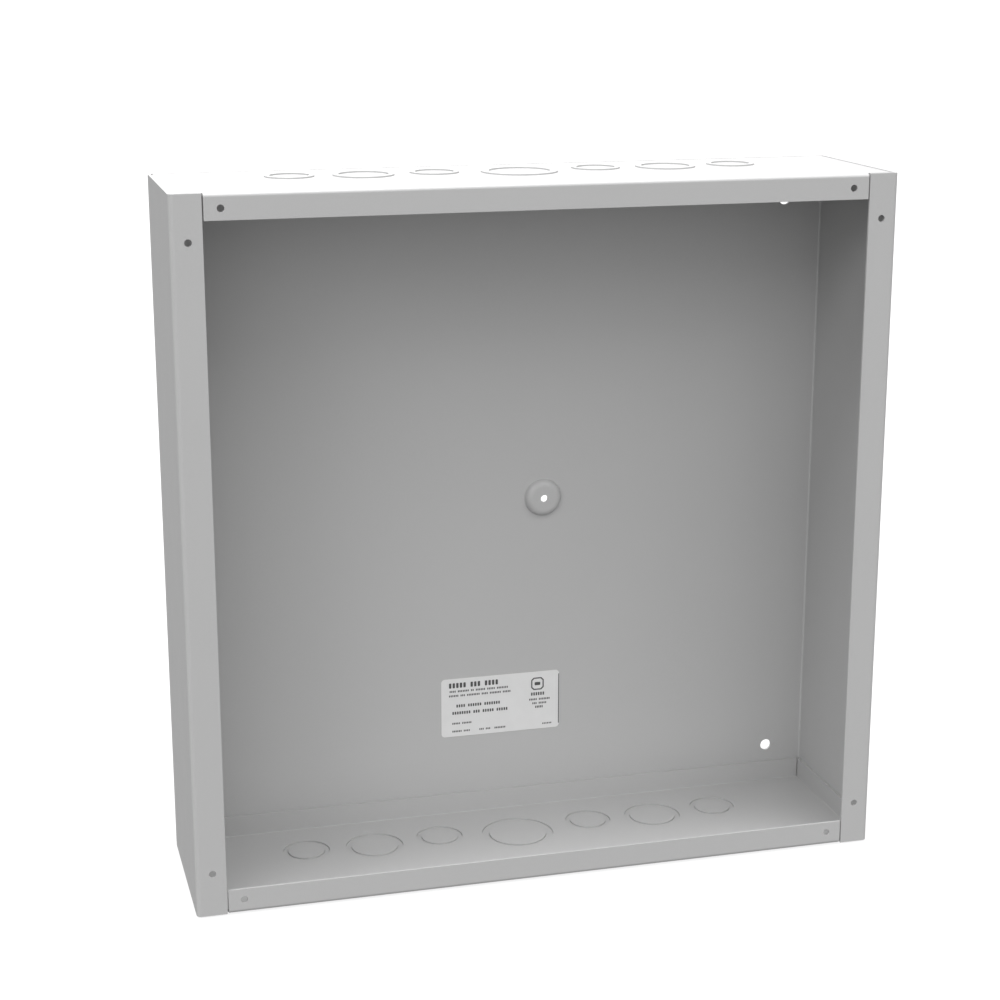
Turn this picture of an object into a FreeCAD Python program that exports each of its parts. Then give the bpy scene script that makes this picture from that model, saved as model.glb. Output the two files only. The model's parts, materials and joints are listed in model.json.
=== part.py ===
import FreeCAD, Part
import math
import os

# Surface-mount sheet-steel enclosure with concentric knockouts. Millimetres.
# The origin is the middle of the face that goes against the wall: +X to the
# right as seen from the front, +Y into the wall, +Z up. The open front faces -Y.

INCH = 25.4

# Sheet and overall size
SHEET = 1.6                       # 16-gauge galvanised sheet
WRAPPER_BEND_INSIDE = 1.2         # inside radius of the wrapper's bends
PAN_BEND_INSIDE = 0.4             # inside radius of the end pans' bends
INSIDE_WIDE = 16 * INCH           # between the side walls
INSIDE_DEEP = 4 * INCH            # between the back and the front flanges
HEIGHT = 16 * INCH                # over both end pans
SIDE_FLANGE = 17.3                # width of the wrapper's front flanges
PAN_FLANGE = 9 / 16 * INCH        # height of all the flanges of an end pan
LAP_FIT = 0.1                     # clearance of the lapped, spot-welded sheets
FLANGE_GAP = 0.8                  # between the ends of neighbouring front flanges

# Cover screws: four in the side flanges, four in the flanges of the end pans
PILOT_DIAMETER = 4.0
COVER_WIDE = 15.375 * INCH        # the far pair's distance apart, each way
COVER_NEAR = 14 * INCH            # the near pair's distance apart, each way

# Holes for hanging the box
WALL_HOLE_DIAMETER = 9 / 32 * INCH
WALL_HOLE_INSET = 1 * INCH        # from the box's outer faces

# Boss drawn forward from the back for the grounding screw
BOSS_X = 26.8
BOSS_RISE = 4.0
BOSS_BASE_RADIUS = 11.5
BOSS_SLOPE = math.radians(80)
BOSS_RIM_RADIUS = 4.2
BOSS_ROOT_RADIUS = 0.5
GROUND_HOLE_DIAMETER = 4.5

# Concentric knockouts: (ring, slug) hole diameters by trade size
HALF, THREE_QUARTER, ONE, ONE_AND_QUARTER = 22.2, 28.2, 34.8, 44.0
SMALL = (THREE_QUARTER, HALF)
MEDIUM = (ONE, THREE_QUARTER)
LARGE = (ONE_AND_QUARTER, ONE)
KNOCKOUTS = [                     # (offset from the middle, sizes), left to right
    (-5.125 * INCH, SMALL),
    (-3.5 * INCH, MEDIUM),
    (-1.875 * INCH, SMALL),
    (0.0, LARGE),
    (1.875 * INCH, SMALL),
    (3.5 * INCH, MEDIUM),
    (5.125 * INCH, SMALL),
]
KNOCKOUT_REAR = 20.9              # from the wall to the rearmost point of each ring
SHEAR_GAP = 0.15                  # around each slug and ring
RING_LIFT = SHEET / 2             # rings stand proud of the end panel by this much
TIE_WIDTH = 1.6                   # webs that hold a piece until it is torn out
TIE_GAP = 0.04

# Rating label on the inside of the back
LABEL_WIDE = 3 * INCH
LABEL_TALL = 1.5 * INCH
LABEL_THICK = 0.3
LABEL_RADIUS = 2.4
LABEL_BOTTOM = 52.2               # above the box's outer bottom

# Worked out from the sizes above
WRAPPER_BEND = WRAPPER_BEND_INSIDE + SHEET
PAN_BEND = PAN_BEND_INSIDE + SHEET
WIDTH = INSIDE_WIDE + 2 * SHEET
DEPTH = INSIDE_DEEP + 2 * SHEET
FRONT = -DEPTH
TOP = HEIGHT / 2
PAN_HALF = WIDTH / 2 - SHEET - LAP_FIT
PAN_REAR = -SHEET - LAP_FIT
PAN_MOUTH = WIDTH / 2 - SIDE_FLANGE - FLANGE_GAP
ACROSS = FreeCAD.Vector(1, 0, 0)
INWARD = FreeCAD.Vector(0, 1, 0)
UP = FreeCAD.Vector(0, 0, 1)


def block(x, y, z):
    """A box from three (low, high) pairs."""
    sides = [high - low for low, high in (x, y, z)]
    return Part.makeBox(*sides, FreeCAD.Vector(x[0], y[0], z[0]))


def rod(radius, start, direction, length):
    return Part.makeCylinder(radius, length, FreeCAD.Vector(*start), direction)


def straight_edges(shape, direction):
    """The straight edges of a shape that run along a direction."""
    found = []
    for edge in shape.Edges:
        along = edge.Vertexes[-1].Point - edge.Vertexes[0].Point
        if along.Length and along.cross(direction).Length < 1e-6:
            found.append(edge)
    return found


def rounded_column(half_wide, front, rear, radius):
    """A full-height rectangular column with its four upright edges rounded."""
    column = block((-half_wide, half_wide), (front, rear), (-TOP, TOP))
    return column.makeFillet(radius, straight_edges(column, UP))


def circle_edges(shape, radius, y):
    """The full circles of one radius that lie in the plane at one depth."""
    return [
        edge for edge in shape.Edges
        if isinstance(edge.Curve, Part.Circle)
        and abs(edge.Curve.Radius - radius) < 1e-6
        and abs(edge.Curve.Center.y - y) < 1e-6
    ]


def boss_cone(base_radius, start_y, rim_radius):
    """A frustum standing forward from start_y, with a rounded rim."""
    top_radius = base_radius - BOSS_RISE / math.tan(BOSS_SLOPE)
    place = FreeCAD.Vector(BOSS_X, start_y, 0)
    cone = Part.makeCone(base_radius, top_radius, BOSS_RISE, place, -INWARD)
    return cone.makeFillet(rim_radius, circle_edges(cone, top_radius, start_y - BOSS_RISE))


def add_boss(sheet):
    """Raise the grounding boss from the back and hollow it from behind."""
    sheet = sheet.fuse(boss_cone(BOSS_BASE_RADIUS, -SHEET, BOSS_RIM_RADIUS)).removeSplitter()
    sheet = sheet.makeFillet(BOSS_ROOT_RADIUS, circle_edges(sheet, BOSS_BASE_RADIUS, -SHEET))
    hollow_radius = BOSS_BASE_RADIUS - SHEET * math.tan(BOSS_SLOPE / 2)
    hollow = boss_cone(hollow_radius, 0, BOSS_RIM_RADIUS - SHEET)
    hole = rod(GROUND_HOLE_DIAMETER / 2, (BOSS_X, 1, 0), -INWARD, BOSS_RISE + SHEET + 2)
    return sheet.cut(hollow).cut(hole)


def four_holes(diameter, half_x, half_z, face_y):
    """Cutters through one sheet, at the corners of a rectangle."""
    return [
        rod(diameter / 2, (side * half_x, face_y - 1, level * half_z), INWARD, SHEET + 2)
        for side in (-1, 1)
        for level in (-1, 1)
    ]


def make_wrapper():
    """Back, side walls and side front flanges, bent from one sheet."""
    outside = rounded_column(WIDTH / 2, FRONT, 0, WRAPPER_BEND)
    inside = rounded_column(WIDTH / 2 - SHEET, FRONT + SHEET, -SHEET, WRAPPER_BEND_INSIDE)
    mouth_half = WIDTH / 2 - SIDE_FLANGE
    mouth = block((-mouth_half, mouth_half), (FRONT - 1, FRONT + SHEET + 1), (-TOP, TOP))
    sheet = add_boss(outside.cut(inside).cut(mouth))
    wall_x = WIDTH / 2 - WALL_HOLE_INSET
    wall_z = TOP - WALL_HOLE_INSET
    holes = four_holes(WALL_HOLE_DIAMETER, wall_x, wall_z, -SHEET)
    holes += four_holes(PILOT_DIAMETER, COVER_WIDE / 2, COVER_NEAR / 2, FRONT)
    return sheet.cut(holes)


def bent_flange(length):
    """A quarter bend and the flange below it, in the sheet's own coordinates.

    The panel ends at x = -PAN_BEND with its top at z = 0, the flange's outer face
    is at x = 0, and the length runs along +Y.
    """
    lean = math.sqrt(0.5)

    def corner(radius):
        return FreeCAD.Vector(-PAN_BEND + radius * lean, 0, -PAN_BEND + radius * lean)

    def point(x, z):
        return FreeCAD.Vector(x, 0, z)

    outline = Part.Wire([
        Part.Arc(point(-PAN_BEND, 0), corner(PAN_BEND), point(0, -PAN_BEND)).toShape(),
        Part.makeLine(point(0, -PAN_BEND), point(0, -PAN_FLANGE)),
        Part.makeLine(point(0, -PAN_FLANGE), point(-SHEET, -PAN_FLANGE)),
        Part.makeLine(point(-SHEET, -PAN_FLANGE), point(-SHEET, -PAN_BEND)),
        Part.Arc(point(-SHEET, -PAN_BEND), corner(PAN_BEND_INSIDE), point(-PAN_BEND, -SHEET)).toShape(),
        Part.makeLine(point(-PAN_BEND, -SHEET), point(-PAN_BEND, 0)),
    ])
    return Part.Face(outline).extrude(FreeCAD.Vector(0, length, 0))


def placed_flange(length, turn, x, y):
    """A flange turned about +Z, with the start of its outer face at (x, y)."""
    flange = bent_flange(length)
    flange.rotate(FreeCAD.Vector(), UP, turn)
    flange.translate(FreeCAD.Vector(x, y, TOP))
    return flange


def knockout_places():
    """(number, x, y, sizes) of each knockout; their rings line up at the rear."""
    for number, (x, sizes) in enumerate(KNOCKOUTS, 1):
        yield number, x, -KNOCKOUT_REAR - sizes[0] / 2, sizes


def make_top_end():
    """The upper pan: panel, front flange, rear lap flange and two side tabs."""
    panel_top = (TOP - SHEET, TOP)
    tab_front = FRONT + WRAPPER_BEND
    panel_half = PAN_HALF - PAN_BEND
    panel_rear = PAN_REAR - PAN_BEND
    pieces = [
        block((-panel_half, panel_half), (tab_front, panel_rear), panel_top),
        block((-PAN_MOUTH, PAN_MOUTH), (FRONT + PAN_BEND, tab_front), panel_top),
        placed_flange(2 * PAN_MOUTH, -90, -PAN_MOUTH, FRONT),
        placed_flange(2 * panel_half, 90, panel_half, PAN_REAR),
        placed_flange(panel_rear - tab_front, 0, PAN_HALF, tab_front),
        placed_flange(panel_rear - tab_front, 180, -PAN_HALF, panel_rear),
    ]
    pan = pieces[0].fuse(pieces[1:]).removeSplitter()
    holes = [
        rod(sizes[0] / 2, (x, y, TOP - SHEET - 1), UP, SHEET + 2)
        for _, x, y, sizes in knockout_places()
    ]
    holes += four_holes(PILOT_DIAMETER, COVER_NEAR / 2, COVER_WIDE / 2, FRONT)
    return pan.cut(holes)


def ties(radius, x, y, low, turn):
    """Three webs that reach outward to just short of a hole's radius."""
    hole = rod(radius - TIE_GAP, (x, y, low), UP, RING_LIFT)
    webs = []
    for number in range(3):
        web = block((radius - 1, radius), (-TIE_WIDTH / 2, TIE_WIDTH / 2), (low, low + RING_LIFT))
        web.rotate(FreeCAD.Vector(), UP, turn + 120 * number)
        web.translate(FreeCAD.Vector(x, y, 0))
        webs.append(web)
    return webs[0].fuse(webs[1:]).common(hole)


def make_slug(x, y, sizes):
    """The centre disc of a top knockout, flush with the panel."""
    disc = rod(sizes[1] / 2 - SHEAR_GAP, (x, y, TOP - SHEET), UP, SHEET)
    return disc.fuse(ties(sizes[1] / 2, x, y, TOP - RING_LIFT, 30)).removeSplitter()


def make_ring(x, y, sizes):
    """The ring of a top knockout, pushed outward by half the sheet."""
    low = TOP - SHEET + RING_LIFT
    disc = rod(sizes[0] / 2 - SHEAR_GAP, (x, y, low), UP, SHEET)
    hole = rod(sizes[1] / 2, (x, y, low - 1), UP, SHEET + 2)
    webs = ties(sizes[0] / 2, x, y, low, 90)
    return disc.fuse(webs).removeSplitter().cut(hole)


def make_label():
    """A thin rectangle with rounded corners on the inside of the back."""
    half = LABEL_WIDE / 2
    bottom = -TOP + LABEL_BOTTOM
    depth = (-SHEET - LABEL_THICK, -SHEET)
    plate = block((-half, half), depth, (bottom, bottom + LABEL_TALL))
    return plate.makeFillet(LABEL_RADIUS, straight_edges(plate, INWARD))


def mirrored(shape):
    """The same piece at the bottom of the box."""
    return shape.mirror(FreeCAD.Vector(), UP)


def all_parts():
    parts = {"wrapper": make_wrapper(), "rating_label": make_label()}
    top_pieces = {"end": make_top_end()}
    for number, x, y, sizes in knockout_places():
        top_pieces[f"knockout_{number}_slug"] = make_slug(x, y, sizes)
        top_pieces[f"knockout_{number}_ring"] = make_ring(x, y, sizes)
    for name, shape in top_pieces.items():
        parts[f"top_{name}"] = shape
        parts[f"bottom_{name}"] = mirrored(shape)
    return parts


def main():
    os.makedirs("parts", exist_ok=True)
    for name, shape in all_parts().items():
        if not shape.isValid() or len(shape.Solids) != 1:
            raise RuntimeError(f"{name} isn't one valid solid")
        shape.exportStep(f"parts/{name}.step")
        print(f"{name:26s} {shape.Volume / 1000:9.3f} cm3")


main()
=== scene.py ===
import json
import math

import bmesh
import bpy
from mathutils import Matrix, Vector


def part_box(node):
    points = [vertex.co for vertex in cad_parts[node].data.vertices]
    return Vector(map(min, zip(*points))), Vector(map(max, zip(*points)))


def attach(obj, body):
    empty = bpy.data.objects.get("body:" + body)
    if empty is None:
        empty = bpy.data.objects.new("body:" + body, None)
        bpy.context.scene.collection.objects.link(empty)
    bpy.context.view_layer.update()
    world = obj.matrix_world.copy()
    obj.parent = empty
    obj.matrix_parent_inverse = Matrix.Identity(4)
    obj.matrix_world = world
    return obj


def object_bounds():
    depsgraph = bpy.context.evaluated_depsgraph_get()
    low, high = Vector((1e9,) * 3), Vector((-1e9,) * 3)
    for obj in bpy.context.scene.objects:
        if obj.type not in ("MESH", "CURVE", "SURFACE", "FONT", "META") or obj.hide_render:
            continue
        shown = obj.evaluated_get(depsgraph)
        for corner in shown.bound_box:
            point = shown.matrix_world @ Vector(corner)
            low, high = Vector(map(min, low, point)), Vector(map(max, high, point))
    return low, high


MM = 0.001

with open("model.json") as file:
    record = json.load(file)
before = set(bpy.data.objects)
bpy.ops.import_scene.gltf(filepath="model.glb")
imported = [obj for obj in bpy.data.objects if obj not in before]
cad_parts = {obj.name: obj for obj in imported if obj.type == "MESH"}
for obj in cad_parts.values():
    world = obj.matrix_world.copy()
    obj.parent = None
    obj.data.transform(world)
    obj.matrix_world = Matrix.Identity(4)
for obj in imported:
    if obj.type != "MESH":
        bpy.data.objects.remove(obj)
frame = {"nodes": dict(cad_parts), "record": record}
cad_low, cad_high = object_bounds()

# ---------------------------------------------------------------- materials

NOISE_LOW, NOISE_HIGH = 0.3, 0.7  # most of a noise's values lie between these


class Nodes:
    """A material's node tree, with short calls for the nodes used here."""

    def __init__(self, name):
        self.material = bpy.data.materials.new(name)
        self.material.use_nodes = True
        self.tree = self.material.node_tree
        self.shader = self.tree.nodes["Principled BSDF"]
        self.place = self.tree.nodes.new("ShaderNodeTexCoord").outputs["Object"]

    def link(self, output, target):
        self.tree.links.new(output, target)

    def noise(self, size, detail=2.0):
        """A 3-D noise whose features are about `size` metres across."""
        node = self.tree.nodes.new("ShaderNodeTexNoise")
        node.inputs["Scale"].default_value = 1 / size
        node.inputs["Detail"].default_value = detail
        self.link(self.place, node.inputs["Vector"])
        return node.outputs["Fac"]

    def spread(self, value, low, high):
        """Maps a noise's middle range onto the numbers low to high."""
        node = self.tree.nodes.new("ShaderNodeMapRange")
        node.inputs["From Min"].default_value = NOISE_LOW
        node.inputs["From Max"].default_value = NOISE_HIGH
        node.inputs["To Min"].default_value = low
        node.inputs["To Max"].default_value = high
        self.link(value, node.inputs["Value"])
        return node.outputs["Result"]

    def between(self, factor, first, second):
        """A colour that goes from first to second with the factor."""
        node = self.tree.nodes.new("ShaderNodeMix")
        node.data_type = "RGBA"
        self.link(factor, node.inputs["Factor"])
        for socket, colour in (("A", first), ("B", second)):
            target = [s for s in node.inputs if s.name == socket and s.type == "RGBA"][0]
            if isinstance(colour, tuple):
                target.default_value = (*colour, 1)
            else:
                self.link(colour, target)
        return [s for s in node.outputs if s.type == "RGBA"][0]

    def bump(self, height, depth, under=None):
        """Normals for a relief of this depth, on top of another relief's normals."""
        node = self.tree.nodes.new("ShaderNodeBump")
        node.inputs["Distance"].default_value = depth
        self.link(height, node.inputs["Height"])
        if under is not None:
            self.link(under, node.inputs["Normal"])
        return node.outputs["Normal"]


def grey(value):
    return (value, value, value)


def enamel(name):
    """Smooth light grey enamel: faint orange peel, drifts of tone and gloss."""
    paint = Nodes(name)
    drift = paint.spread(paint.noise(90 * MM, detail=3), 0, 1)
    speck = paint.spread(paint.noise(1.2 * MM, detail=1), 0, 1)
    tone = paint.between(drift, grey(0.425), grey(0.437))
    tone = paint.between(speck, tone, grey(0.434))
    paint.link(tone, paint.shader.inputs["Base Color"])
    gloss = paint.spread(paint.noise(35 * MM, detail=4), 0.40, 0.46)
    paint.link(gloss, paint.shader.inputs["Roughness"])
    peel = paint.bump(paint.noise(1.6 * MM, detail=1), 0.012 * MM)
    grain = paint.bump(paint.noise(0.35 * MM, detail=2), 0.003 * MM, under=peel)
    paint.link(grain, paint.shader.inputs["Normal"])
    paint.shader.inputs["Specular IOR Level"].default_value = 0.5
    return paint.material


def polyester(name):
    """Off-white printed polyester film."""
    film = Nodes(name)
    mottle = film.spread(film.noise(6 * MM, detail=4), 0, 1)
    tone = film.between(mottle, grey(0.655), grey(0.675))
    film.link(tone, film.shader.inputs["Base Color"])
    gloss = film.spread(film.noise(12 * MM), 0.38, 0.46)
    film.link(gloss, film.shader.inputs["Roughness"])
    grain = film.bump(film.noise(0.5 * MM, detail=2), 0.004 * MM)
    film.link(grain, film.shader.inputs["Normal"])
    return film.material


def print_and_shadow_black():
    """Thermal-printed black, a little uneven; also the painted shadow strip down the label's right
    edge.
    """
    print_and_shade = Nodes("label_ink_and_painted_shadow")
    patch = print_and_shade.spread(print_and_shade.noise(0.6 * MM, detail=3), 0, 1)
    tone = print_and_shade.between(patch, grey(0.03), grey(0.09))
    print_and_shade.link(tone, print_and_shade.shader.inputs["Base Color"])
    gloss = print_and_shade.spread(print_and_shade.noise(1.0 * MM), 0.45, 0.6)
    print_and_shade.link(gloss, print_and_shade.shader.inputs["Roughness"])
    return print_and_shade.material


def studio_paint(name, glow):
    """Plain pale matt paint with a faint mottle, lit from within so that shadows stay soft."""
    paint = Nodes(name)
    mottle = paint.spread(paint.noise(300 * MM, detail=3), 0, 1)
    tone = paint.between(mottle, grey(0.14), grey(0.16))
    paint.link(tone, paint.shader.inputs["Base Color"])
    paint.shader.inputs["Roughness"].default_value = 0.9
    paint.shader.inputs["Specular IOR Level"].default_value = 0.2
    paint.shader.inputs["Emission Color"].default_value = (1, 1, 1, 1)
    paint.shader.inputs["Emission Strength"].default_value = glow
    paint.material.cycles.emission_sampling = "NONE"
    return paint.material


def dress(node, material):
    slots = frame["nodes"][node].data.materials
    slots.clear()
    slots.append(material)


FINISHES = {"painted_metal": enamel, "matte_plastic": polyester}
finishes = {
    row["slot"]: FINISHES[row["class"]](row["slot"])
    for row in frame["record"]["materials"]
}
for row in frame["record"]["subparts"]:
    dress(row["node"], finishes[row["material_slot"]])

# ---------------------------------------------------------------- label print and painted edge shadow

INK_THICK = 0.02 * MM
BLOCK_WIDE = 0.66  # of the spacing between blocks
BLOCK_CUT = 0.12
# rows of plain blocks standing for print: mm right of the label's left edge and
# below its top edge to the row's start and middle, block spacing and height, blocks per word
ROWS = (
    (4.6, 4.4, 2.30, 3.3, (5, 3, 4)),
    (5.2, 8.3, 1.05, 1.3, (4, 7, 2, 6, 5, 7)),
    (4.8, 11.2, 1.05, 1.3, (6, 3, 8, 4, 7, 5)),
    (9.4, 18.0, 1.50, 1.9, (4, 6, 7)),
    (6.8, 22.6, 1.50, 1.9, (8, 3, 5, 5)),
    (6.8, 29.5, 1.05, 1.2, (5, 6)),
    (6.8, 34.7, 1.05, 1.2, (6, 4)),
    (24.2, 34.7, 1.05, 1.2, (3, 3)),
    (34.0, 34.7, 1.05, 1.2, (7,)),
    (57.7, 14.7, 1.50, 2.1, (6,)),
    (56.6, 18.3, 1.05, 1.3, (5, 7)),
    (58.6, 20.9, 1.05, 1.3, (3, 5)),
    (60.5, 23.4, 1.05, 1.5, (5,)),
    (65.2, 34.9, 1.05, 1.0, (6,)),
)
# the empty mark: its middle right of the label's left edge and below its top edge, mm
MARK_MIDDLE = (62.1, 8.0)
MARK_WIDE = 8.2
MARK_LINE = 0.8
MARK_CUT, MARK_INNER_CUT = 1.6, 1.2
PLATE_WIDE, PLATE_TALL = 0.45, 0.25  # of the mark's width
PLATE_CUT = 0.3
# painted shadow: the dark strip down the label's right edge, standing for the shade its raised
# edge throws, mm
EDGE_SHADOW_WIDE = 0.5
EDGE_SHADOW_TALL = 33.0
EDGE_SHADOW_CUT = 0.1


def chamfered(x, z, wide, tall, cut):
    """Eight corners of a rectangle about (x, z) with its corners cut off."""
    a, b = wide / 2, tall / 2
    return [(x + u, z + v) for u, v in (
        (cut - a, -b), (a - cut, -b), (a, cut - b), (a, b - cut),
        (a - cut, b), (cut - a, b), (-a, b - cut), (-a, cut - b))]


def add_plate(verts, faces, outline, near, far):
    """A flat plate between y = near (the side seen) and y = far."""
    start, count = len(verts), len(outline)
    verts += [(x, near, z) for x, z in outline] + [(x, far, z) for x, z in outline]
    faces.append([start + i for i in range(count)])
    faces.append([start + count + i for i in reversed(range(count))])
    for i in range(count):
        j = (i + 1) % count
        faces.append([start + j, start + i, start + count + i, start + count + j])


def add_frame(verts, faces, outer, inner, near, far):
    """A flat ring between two outlines of as many corners."""
    start, count = len(verts), len(outer)
    for outline in (outer, inner):
        verts += [(x, near, z) for x, z in outline] + [(x, far, z) for x, z in outline]
    on, of, inn, inf = (start + count * k for k in range(4))
    for i in range(count):
        j = (i + 1) % count
        faces.append([on + i, on + j, inn + j, inn + i])
        faces.append([of + j, of + i, inf + i, inf + j])
        faces.append([on + j, on + i, of + i, of + j])
        faces.append([inn + i, inn + j, inf + j, inf + i])


def label_print_and_edge_shadow():
    """Rows of blocks and an empty mark printed on the label, and a painted shadow strip down its
    right edge.
    """
    low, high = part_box("rating_label")
    far, near = low.y, low.y - INK_THICK
    verts, faces = [], []
    for left, down, pitch, tall, words in ROWS:
        x = low.x + left * MM + pitch * MM / 2
        z = high.z - down * MM
        for word in words:
            for _ in range(word):
                block = chamfered(x, z, BLOCK_WIDE * pitch * MM, tall * MM, BLOCK_CUT * pitch * MM)
                add_plate(verts, faces, block, near, far)
                x += pitch * MM
            x += pitch * MM
    x, z = low.x + MARK_MIDDLE[0] * MM, high.z - MARK_MIDDLE[1] * MM
    wide, line = MARK_WIDE * MM, MARK_LINE * MM
    outer = chamfered(x, z, wide, wide, MARK_CUT * MM)
    inner = chamfered(x, z, wide - 2 * line, wide - 2 * line, MARK_INNER_CUT * MM)
    add_frame(verts, faces, outer, inner, near, far)
    plate = chamfered(x, z, wide * PLATE_WIDE, wide * PLATE_TALL, PLATE_CUT * MM)
    add_plate(verts, faces, plate, near, far)
    # painted shadow: a thin dark strip in the same black as the print, along the label's right
    # edge where the label throws shade
    x, z = high.x - EDGE_SHADOW_WIDE * MM / 2, (low.z + high.z) / 2
    edge = chamfered(x, z, EDGE_SHADOW_WIDE * MM, EDGE_SHADOW_TALL * MM, EDGE_SHADOW_CUT * MM)
    add_plate(verts, faces, edge, near, far)

    mesh = bpy.data.meshes.new("label_print_and_edge_shadow")
    mesh.from_pydata(verts, [], faces)
    mesh.materials.append(print_and_shadow_black())
    piece = bpy.data.objects.new("label_print_and_edge_shadow", mesh)
    bpy.context.scene.collection.objects.link(piece)
    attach(piece, "enclosure")


label_print_and_edge_shadow()

# ---------------------------------------------------------------- stage

FLOOR_HALF = 60.0
FLOOR_GLOW = 0.8
DOME_RADIUS = 25.0
DOME_GLOW = 1.0
centre = (cad_low + cad_high) / 2


def stage_piece(name, mesh, glow):
    """A piece of the stage that the camera sees and that throws no light or shadow on the box."""
    mesh.materials.append(studio_paint(f"studio_{name}", glow))
    piece = bpy.data.objects.new(name, mesh)
    bpy.context.scene.collection.objects.link(piece)
    piece.visible_diffuse = False
    piece.visible_glossy = False
    piece.visible_shadow = False


def stage_floor():
    """A wide sheet that the box stands on."""
    corners = [
        (x * FLOOR_HALF, y * FLOOR_HALF, cad_low.z)
        for x, y in ((-1, -1), (1, -1), (1, 1), (-1, 1))
    ]
    mesh = bpy.data.meshes.new("floor")
    mesh.from_pydata(corners, [], [(0, 1, 2, 3)])
    stage_piece("floor", mesh, FLOOR_GLOW)


def stage_backdrop():
    """A white dome far behind the floor, seen only when the camera is low."""
    dome = bmesh.new()
    bmesh.ops.create_uvsphere(dome, u_segments=48, v_segments=24, radius=DOME_RADIUS)
    mesh = bpy.data.meshes.new("backdrop")
    dome.to_mesh(mesh)
    dome.free()
    stage_piece("backdrop", mesh, DOME_GLOW)


def stage_world():
    """An even white sky."""
    world = bpy.data.worlds.new("studio")
    world.use_nodes = True
    back = world.node_tree.nodes["Background"]
    back.inputs["Color"].default_value = (1, 1, 1, 1)
    back.inputs["Strength"].default_value = SKY
    bpy.context.scene.world = world


def towards(azimuth, elevation):
    """Unit vector from the box to something at an azimuth and elevation, in degrees."""
    a, e = math.radians(azimuth), math.radians(elevation)
    return Vector((math.sin(a) * math.cos(e), -math.cos(a) * math.cos(e), math.sin(e)))


def aim(obj, target):
    obj.rotation_mode = "QUATERNION"
    obj.rotation_quaternion = (target - obj.location).to_track_quat("-Z", "Y")


def far_softbox(name, azimuth, elevation, across, strength):
    """A wide soft light so far off that it lights the whole floor evenly."""
    lamp = bpy.data.lights.new(name, "SUN")
    lamp.energy = strength
    lamp.angle = math.radians(across)
    light = bpy.data.objects.new(name, lamp)
    light.location = centre + towards(azimuth, elevation) * 3
    aim(light, centre)
    bpy.context.scene.collection.objects.link(light)


SKY = 0.28
# name, azimuth and elevation it shines from, degrees across, watts per square metre
LIGHTS = (
    ("overhead", 0, 90, 20, 1.96),
    ("high_right", 30, 65, 60, 1.84),
    ("high_left", -90, 50, 40, 1.83),
    ("key", -45, 30, 25, 0.46),
    ("low_left", -30, 15, 60, 0.57),
    ("low_front", 0, 15, 60, 0.44),
    ("low_right", 60, 15, 60, 0.52),
    ("behind_low", 180, 30, 50, 0.66),
    ("behind_high", 180, 60, 40, 1.39),
)
stage_floor()
stage_backdrop()
stage_world()
for light in LIGHTS:
    far_softbox(*light)


SENSOR_WIDE, LENS = 36, 74.79
TARGET = Vector((-12.1, 6.6, 12.2)) * MM  # from the middle of the box
CAMERA_AZIMUTH, CAMERA_ELEVATION = -15.0, 14.955
CAMERA_DISTANCE = 1.220


def photo_camera():
    """A long lens, to the left of the front and above it."""
    data = bpy.data.cameras.new("camera")
    data.sensor_width = SENSOR_WIDE
    data.lens = LENS
    camera = bpy.data.objects.new("camera", data)
    target = centre + TARGET
    camera.location = target + towards(CAMERA_AZIMUTH, CAMERA_ELEVATION) * CAMERA_DISTANCE
    aim(camera, target)
    data.clip_start, data.clip_end = 0.01, 50
    bpy.context.scene.collection.objects.link(camera)
    bpy.context.scene.camera = camera


photo_camera()
bpy.context.scene.view_settings.view_transform = "Standard"
